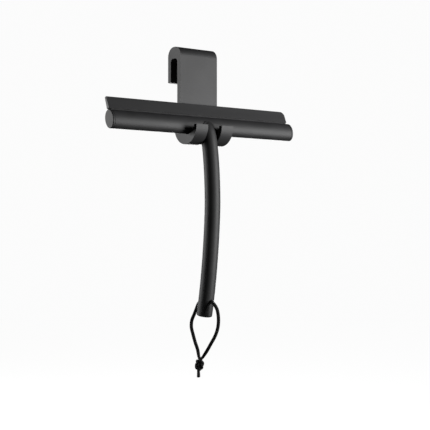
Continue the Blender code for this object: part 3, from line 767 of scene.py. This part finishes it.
class SQUEEGEE_OT_handle(bpy.types.Operator):
    """Model the handle's silicone sleeve"""
    bl_idname = "squeegee.handle"
    bl_label = "Handle"

    def execute(self, context):
        colours = settings()[1]
        handle = self.swept(self.ring_places(), 72)
        self.flare(handle)
        bar = oval_rod("bar_space", BAR_LOW.x, BAR_HIGH.x, -0.05 * MM)
        cut(handle, bar)
        across = Vector((0, 30 * MM, 0))
        start, end = hole_centre() - across, hole_centre() + across
        cut(handle, round_rod("cord_hole", start, end, LANYARD_HOLE_RADIUS, 32))
        smooth(handle)
        material = silicone_finish("handle_silicone", colours.silicone, 0.58)
        finished(handle, "squeegee", "silicone", material, "handle_cover")
        return {"FINISHED"}

    def ring_places(self):
        """Places along the handle's line, close together where it grows out of the bar."""
        line = handle_line(200)
        near = [place for place in line if (place - line[0]).length < 20 * MM]
        far = line[len(near)::7]
        return near + far + ([] if far[-1] is line[-1] else [line[-1]])

    def swept(self, line, sides):
        """A ring extruded step by step along the line, turned to stay square to it."""
        start_clean()
        bpy.ops.mesh.primitive_circle_add(vertices=sides, radius=HANDLE_RADIUS, fill_type="NGON")
        handle = added("handle_sleeve")
        steps = [(b - a).normalized() for a, b in zip(line, line[1:])]
        middles = [(a + b).normalized() for a, b in zip(steps, steps[1:])]
        slopes = [atan2(step.z, step.y) for step in [steps[0]] + middles + [steps[-1]]]
        tilt = Matrix.Rotation(slopes[0] - pi / 2, 4, "X")
        set_in_place(handle, Matrix.Translation(line[0]) @ tilt)
        bpy.ops.object.mode_set(mode="EDIT")
        bpy.ops.mesh.select_all(action="SELECT")
        lengths = [0.0]
        for before, after in zip(line, line[1:]):
            lengths.append(lengths[-1] + (after - before).length)
        taper = [self.taper(distance) for distance in lengths]
        bpy.ops.transform.resize(value=(taper[0],) * 3, center_override=line[0])
        for i in range(1, len(line)):
            step = line[i] - line[i - 1]
            bpy.ops.mesh.extrude_region_move(TRANSFORM_OT_translate={"value": step})
            turn = slopes[i - 1] - slopes[i]
            bpy.ops.transform.rotate(value=turn, orient_axis="X", center_override=line[i])
            bpy.ops.transform.resize(value=(taper[i] / taper[i - 1],) * 3, center_override=line[i])
        # the last ring's rim is rounded while it is still the only selected face
        bpy.ops.mesh.bevel(offset=HANDLE_END_ROUNDING, segments=5, affect="EDGES")
        bpy.ops.mesh.select_all(action="SELECT")
        bpy.ops.mesh.normals_make_consistent(inside=False)
        bpy.ops.object.mode_set(mode="OBJECT")
        return handle

    def taper(self, distance):
        """The handle's width along it: a dome inside the bar, then a little narrower than below."""
        share = min(distance / HANDLE_TAPER_LENGTH, 1.0)
        neck = HANDLE_TOP_WIDTH + (1 - HANDLE_TOP_WIDTH) * share * share * (3 - 2 * share)
        dome = min(distance / HANDLE_DOME_LENGTH, 1.0)
        return neck * max(sqrt(1 - (1 - dome) ** 2), 0.12)

    def flare(self, handle):
        """Spreads the skin into a small hollow round where it meets the bar."""
        sizes = settings()[0]
        radius = FLARE_RADIUS
        inward = bar_frame().inverted()
        line = handle_line(200)
        normals = [vert.normal.copy() for vert in handle.data.vertices]
        for vert, normal in zip(handle.data.vertices, normals):
            place = inward @ vert.co
            u = place.x / sizes.oval_u
            v = place.y / sizes.oval_v
            level = sqrt(u * u + v * v)
            slope = Vector((u / sizes.oval_u, v / sizes.oval_v, 0.0)) / level
            gap = (level - 1) / slope.length
            if not -4 * MM < gap < radius or abs(place.z) > FLARE_HALF_WIDTH:
                continue
            facing = (inward.to_3x3() @ normal).dot(slope.normalized())
            gap = max(gap, 0.02 * MM)
            spread = radius - sqrt(radius ** 2 - (radius - gap) ** 2)
            centre = min(line, key=lambda point: (point - vert.co).length_squared)
            outward = (vert.co - centre).normalized()
            vert.co += outward * spread * max(1 - facing * facing * 1.15, 0.0)


# ---------------------------------------------------------------- lanyard
def smooth_route(points, steps):
    """A smooth curve (Catmull-Rom) through a row of points."""
    points = [points[0] * 2 - points[1]] + list(points) + [points[-1] * 2 - points[-2]]
    result = []
    for a, b, c, d in zip(points, points[1:], points[2:], points[3:]):
        for i in range(steps):
            t = i / steps
            result.append(0.5 * (2 * b + (c - a) * t + (2 * a - 5 * b + 4 * c - d) * t * t
                                 + (3 * b - a - 3 * c + d) * t * t * t))
    result.append(points[-2])
    return result


def even_points(points, spacing):
    """The same line with points at an even spacing."""
    lengths = [0.0]
    for before, after in zip(points, points[1:]):
        lengths.append(lengths[-1] + (after - before).length)
    count = max(round(lengths[-1] / spacing), 1)
    result = []
    index = 1
    for i in range(count + 1):
        distance = lengths[-1] * i / count
        while lengths[index] < distance and index < len(points) - 1:
            index += 1
        share = (distance - lengths[index - 1]) / (lengths[index] - lengths[index - 1])
        result.append(points[index - 1].lerp(points[index], share))
    return result


def line_length(points):
    """The length of a row of points."""
    return sum((b - a).length for a, b in zip(points, points[1:]))


def braid_height(angle, distance, pitch, carriers=4):
    """0 in a groove and 1 on top of a strand, where two sets of strands pass over and under."""
    lay = 2 * pi * distance / pitch
    right = carriers * (angle + lay)
    left = carriers * (angle - lay)
    over = 0.5 + 0.5 * cos(right) * cos(left)
    return over * abs(cos(right)) + (1 - over) * abs(cos(left))


def braided_tube(work, points, radius, sides=40, depth=0.06, squeeze=1.0, cut_end=False):
    """Adds a braided cord along evenly spaced points to a mesh, with closed ends.

    Over its last few millimetres it narrows, or widens, by the squeeze factor. A cut end is
    sealed round.
    """
    braid = work.verts.layers.float.get("braid") or work.verts.layers.float.new("braid")
    side = Vector((1.0, 0.0, 0.0))
    rings = []
    distance = 0.0
    total = line_length(points)
    for i, place in enumerate(points):
        ahead = points[min(i + 1, len(points) - 1)] - points[max(i - 1, 0)]
        ahead.normalize()
        side = (side - ahead * side.dot(ahead)).normalized()
        up = ahead.cross(side)
        if i:
            distance += (place - points[i - 1]).length
        left = total - distance
        reach = radius * (1 - (1 - squeeze) * max(1 - left / CORD_END_LENGTH, 0.0))
        if cut_end and left < 0.6 * radius:
            reach *= max(sqrt(1 - (1 - left / (0.6 * radius)) ** 2), 0.45)
        ring = []
        for k in range(sides):
            angle = 2 * pi * k / sides
            height = braid_height(angle, distance, BRAID_PITCH * radius)
            out = reach * (1 - depth + depth * height)
            ring.append(work.verts.new(place + side * (out * cos(angle)) + up * (out * sin(angle))))
            ring[-1][braid] = height
        rings.append(ring)
    for before, after in zip(rings, rings[1:]):
        for k in range(sides):
            n = (k + 1) % sides
            work.faces.new((before[k], before[n], after[n], after[k]))
    work.faces.new(rings[0][::-1])
    work.faces.new(rings[-1])


def mesh_piece(name, work):
    bmesh.ops.recalc_face_normals(work, faces=work.faces)
    mesh = bpy.data.meshes.new(name)
    work.to_mesh(mesh)
    work.free()
    piece = bpy.data.objects.new(name, mesh)
    bpy.context.scene.collection.objects.link(piece)
    return piece


class SQUEEGEE_OT_lanyard(bpy.types.Operator):
    """Model the lanyard's cord and knot"""
    bl_idname = "squeegee.lanyard"
    bl_label = "Lanyard"

    def execute(self, context):
        sizes, colours = settings()
        material = cord_finish("braided_cord", colours.cord)
        radius = sizes.cord_diameter / 2
        knot = self.knot(material, radius)
        mouths = {"front": -HANDLE_RADIUS, "back": HANDLE_RADIUS}
        for name, route in (("front", FRONT_ROUTE), ("back", BACK_ROUTE)):
            line = [route_point(*place) for place in route]
            points = even_points(smooth_route(line, 12), CORD_STEP)
            work = bmesh.new()
            braided_tube(work, points, radius, squeeze=STRAND_SQUEEZE)
            cord = mesh_piece("cord_" + name + "_strand", work)
            smooth(cord, radians(80), False)
            finished(cord, "lanyard", "cord", material, "cord_" + name)
            mouth = hole_centre() + Vector((0.0, mouths[name], 0.0))
            line_length(points)
        return {"FINISHED"}

    def knot(self, material, radius):
        work = bmesh.new()
        for strand in KNOT_STRANDS:
            line = [route_point(*(k + p for k, p in zip(KNOT_CENTRE, place))) for place in strand]
            points = even_points(smooth_route(line, 8), CORD_STEP)
            braided_tube(work, points, radius * KNOT_SQUEEZE, 32, 0.07, TAIL_SWELL, True)
        knot = mesh_piece("overhand_knot", work)
        smooth(knot, radians(80), False)
        finished(knot, "lanyard", "cord", material, "lanyard_knot")
        return knot


# ---------------------------------------------------------------- inner parts
class SQUEEGEE_OT_inner_parts(bpy.types.Operator):
    """Give the metal and nylon parts inside the silicone their finishes"""
    bl_idname = "squeegee.inner_parts"
    bl_label = "Inner parts"

    def execute(self, context):
        along_bar = (0.02, 1.0, 1.0)
        along_handle = (1.0, 1.0, 0.02)
        steel = metal_finish("rolled_steel", (0.58, 0.57, 0.55), 0.34, along_handle)
        extrusion = metal_finish("extruded_aluminium", (0.72, 0.73, 0.75), 0.38, along_bar)
        turned = metal_finish("turned_steel", (0.50, 0.50, 0.49), 0.28, (1.0, 1.0, 0.2))
        nylon = nylon_finish("black_nylon", (0.028, 0.028, 0.030))
        finishes = {
            "hanger_core": steel, "handle_core_tube": steel, "head_core": extrusion,
            "neck_insert": turned, "neck_screw": turned,
            "handle_end_plug": nylon, "lanyard_bush": nylon,
        }
        for node, material in finishes.items():
            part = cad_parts[node]
            part.data.materials.clear()
            part.data.materials.append(material)
        return {"FINISHED"}


# ---------------------------------------------------------------- stage
VIEW_SIDE = radians(38)                # how far round to the left the camera stands
CAMERA_PLACE = BAR_AXIS + Vector((-0.7916, -1.0325, -0.1302))
CAMERA_TURN = (radians(91.48), 0.0, -VIEW_SIDE)
LIGHTS_AIM = BAR_AXIS + Vector((0, 0, -60 * MM))
LIGHTS = (
    # name, way round from the front to the right, distance, height, power, width and height
    ("key", VIEW_SIDE, 0.8, 0.04, 8.2, 0.35, 0.65),
    ("rim", VIEW_SIDE + pi, 1.6, 0.10, 15.5, 1.0, 0.8),
    ("back", pi - VIEW_SIDE, 1.6, -0.10, 14, 1.1, 0.45),
)


class SQUEEGEE_OT_stage(bpy.types.Operator):
    """Set up the camera, the floor and the studio light"""
    bl_idname = "squeegee.stage"
    bl_label = "Stage"

    def execute(self, context):
        self.camera(context.scene)
        self.surroundings()
        self.world(context.scene)
        for row in LIGHTS:
            self.light(*row)
        context.scene.view_settings.view_transform = "Standard"
        return {"FINISHED"}

    def camera(self, scene):
        data = bpy.data.cameras.new("camera")
        data.lens = 100.5
        data.sensor_width = 36.0
        camera = bpy.data.objects.new("camera", data)
        scene.collection.objects.link(camera)
        camera.location = CAMERA_PLACE
        camera.rotation_euler = CAMERA_TURN
        scene.camera = camera

    def surroundings(self):
        """A pale floor and a pale shell round everything, which the object doesn't reflect."""
        pale = (*settings()[1].floor, 1.0)
        start_clean()
        bpy.ops.mesh.primitive_plane_add(size=9.0, location=(0, 0, CAD_BOX[0][2] - 0.25))
        floor = set_in_place(added("studio_floor"))
        start_clean()
        bpy.ops.mesh.primitive_uv_sphere_add(segments=64, ring_count=32, radius=5.0)
        shell = set_in_place(added("studio_shell"))
        for piece, glow, colour in ((floor, 0.95, pale), (shell, 0.97, (0, 0, 0, 1))):
            material, finish = new_finish(piece.name)
            finish.surface({
                "Base Color": colour, "Roughness": 0.9, "Specular IOR Level": 0.0,
                "Emission Color": (1, 1, 1, 1), "Emission Strength": glow,
            })
            piece.data.materials.append(material)
            piece.visible_diffuse = False
            piece.visible_glossy = False
            piece.visible_shadow = False

    def world(self, scene):
        world = bpy.data.worlds.new("studio")
        world.use_nodes = True
        scene.world = world
        finish = Finish(world.node_tree)
        dim = finish.node("ShaderNodeBackground", {}, {"Color": (1, 1, 1, 1), "Strength": 0.02})
        finish.node("ShaderNodeOutputWorld", {}, {"Surface": dim.value()})

    def light(self, name, side, distance, rise, power, width, height):
        """A studio panel that faces the object and doesn't show."""
        data = bpy.data.lights.new(name, "AREA")
        data.shape = "RECTANGLE"
        data.size = width
        data.size_y = height
        data.energy = power
        light = bpy.data.objects.new(name, data)
        bpy.context.scene.collection.objects.link(light)
        away = Vector((sin(side) * distance, -cos(side) * distance, rise))
        light.location = LIGHTS_AIM + away
        light.rotation_euler = (-away).to_track_quat("-Z", "Y").to_euler()
        light.visible_camera = False


# ---------------------------------------------------------------- panel and registration
OPERATORS = (
    SQUEEGEE_OT_stage, SQUEEGEE_OT_lanyard, SQUEEGEE_OT_hanger, SQUEEGEE_OT_bar,
    SQUEEGEE_OT_blade, SQUEEGEE_OT_handle, SQUEEGEE_OT_inner_parts,
)


class SQUEEGEE_PT_panel(bpy.types.Panel):
    """Lists the squeegee's settings and pieces"""
    bl_label = "Squeegee"
    bl_space_type = "VIEW_3D"
    bl_region_type = "UI"
    bl_category = "Squeegee"

    def draw(self, context):
        for group in settings():
            for name in group.bl_rna.properties.keys():
                if name not in ("rna_type", "name"):
                    self.layout.prop(group, name)
        for operator in OPERATORS:
            self.layout.operator(operator.bl_idname)


CLASSES = (SqueegeeSizes, SqueegeeColours) + OPERATORS + (SQUEEGEE_PT_panel,)


def register():
    for cls in CLASSES:
        bpy.utils.register_class(cls)
    bpy.types.Scene.squeegee_sizes = bpy.props.PointerProperty(type=SqueegeeSizes)
    bpy.types.Scene.squeegee_colours = bpy.props.PointerProperty(type=SqueegeeColours)


def unregister():
    del bpy.types.Scene.squeegee_colours
    del bpy.types.Scene.squeegee_sizes
    for cls in reversed(CLASSES):
        bpy.utils.unregister_class(cls)


def main():
    register()
    bpy.ops.squeegee.stage()
    bpy.ops.squeegee.lanyard()
    bpy.ops.squeegee.hanger()
    bpy.ops.squeegee.bar()
    bpy.ops.squeegee.blade()
    bpy.ops.squeegee.handle()
    bpy.ops.squeegee.inner_parts()


if __name__ == "__main__":
    main()
